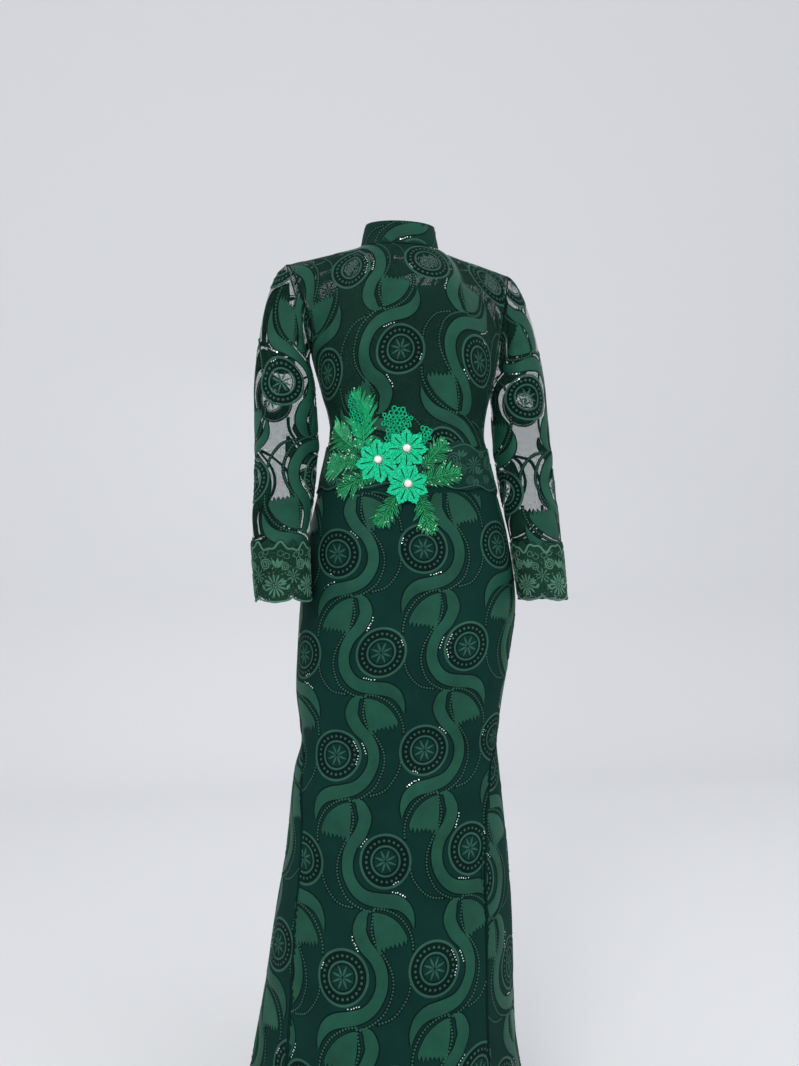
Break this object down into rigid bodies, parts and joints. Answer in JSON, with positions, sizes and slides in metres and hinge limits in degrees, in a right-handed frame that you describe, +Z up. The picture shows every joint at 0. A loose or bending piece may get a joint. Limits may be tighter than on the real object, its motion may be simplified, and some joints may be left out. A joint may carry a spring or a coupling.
{
  "type": "lace gown",
  "caption": "Full-length lace gown in worn form: stand collar, sheer yoke and long sheer sleeves, fitted body, flare from the knee, waist corsage.",
  "frame": {"origin": "middle of the neck base, where the wearer's neck and shoulders hold the gown", "axes": "+Z up along the body, -Y the front, +X the viewer's right when the front is seen"},
  "size_m": [0.5316, 0.4554, 1.5313],
  "materials": {
    "embroidered_net": "matte sheer net with satin stitch",
    "lining": "matte",
    "lined_lace": "matte net with satin stitch",
    "border_lace": "corded, slightly glossy",
    "emerald_applique": "satin thread",
    "glitter_applique": "sequinned",
    "pearl": "pearl gloss",
    "zip_metal": "painted"
  },
  "bodies": {
    "gown": {"bodice_front": "embroidered_net", "bodice_back_left": "embroidered_net", "bodice_back_right": "embroidered_net", "lining_front": "lining", "lining_back_left": "lining", "lining_back_right": "lining", "sleeve_left": "embroidered_net", "sleeve_right": "embroidered_net", "cuff_left": "border_lace", "cuff_right": "border_lace", "skirt_front": "lined_lace", "godet_right": "lined_lace", "skirt_back_right": "lined_lace", "skirt_back_left": "lined_lace", "godet_left": "lined_lace", "waist_trim_front": "border_lace", "waist_trim_back_right": "border_lace", "waist_trim_back_left": "border_lace", "collar": "embroidered_net", "spray_upper_left": "glitter_applique", "spray_left_high": "glitter_applique", "spray_left_low": "glitter_applique", "spray_lower_left": "glitter_applique", "spray_bottom_left": "glitter_applique", "spray_bottom_right": "glitter_applique", "spray_right": "glitter_applique", "spray_upper_right": "glitter_applique", "bubbles_top": "emerald_applique", "bubbles_right": "emerald_applique", "flower_1": "emerald_applique", "pearl_1": "pearl", "flower_2": "emerald_applique", "pearl_2": "pearl", "flower_3": "emerald_applique", "pearl_3": "pearl", "zip_slider": "zip_metal"},
    "zip_pull": {"zip_pull": "zip_metal"}
  },
  "joints": [
    {"name": "zip_pull_swing", "type": "hinge", "parent": "gown", "child": "zip_pull", "pos_m": [0, 0.05087, 0.03615], "axis": [1, 0, 0], "range_deg": [0, 165]}
  ]
}
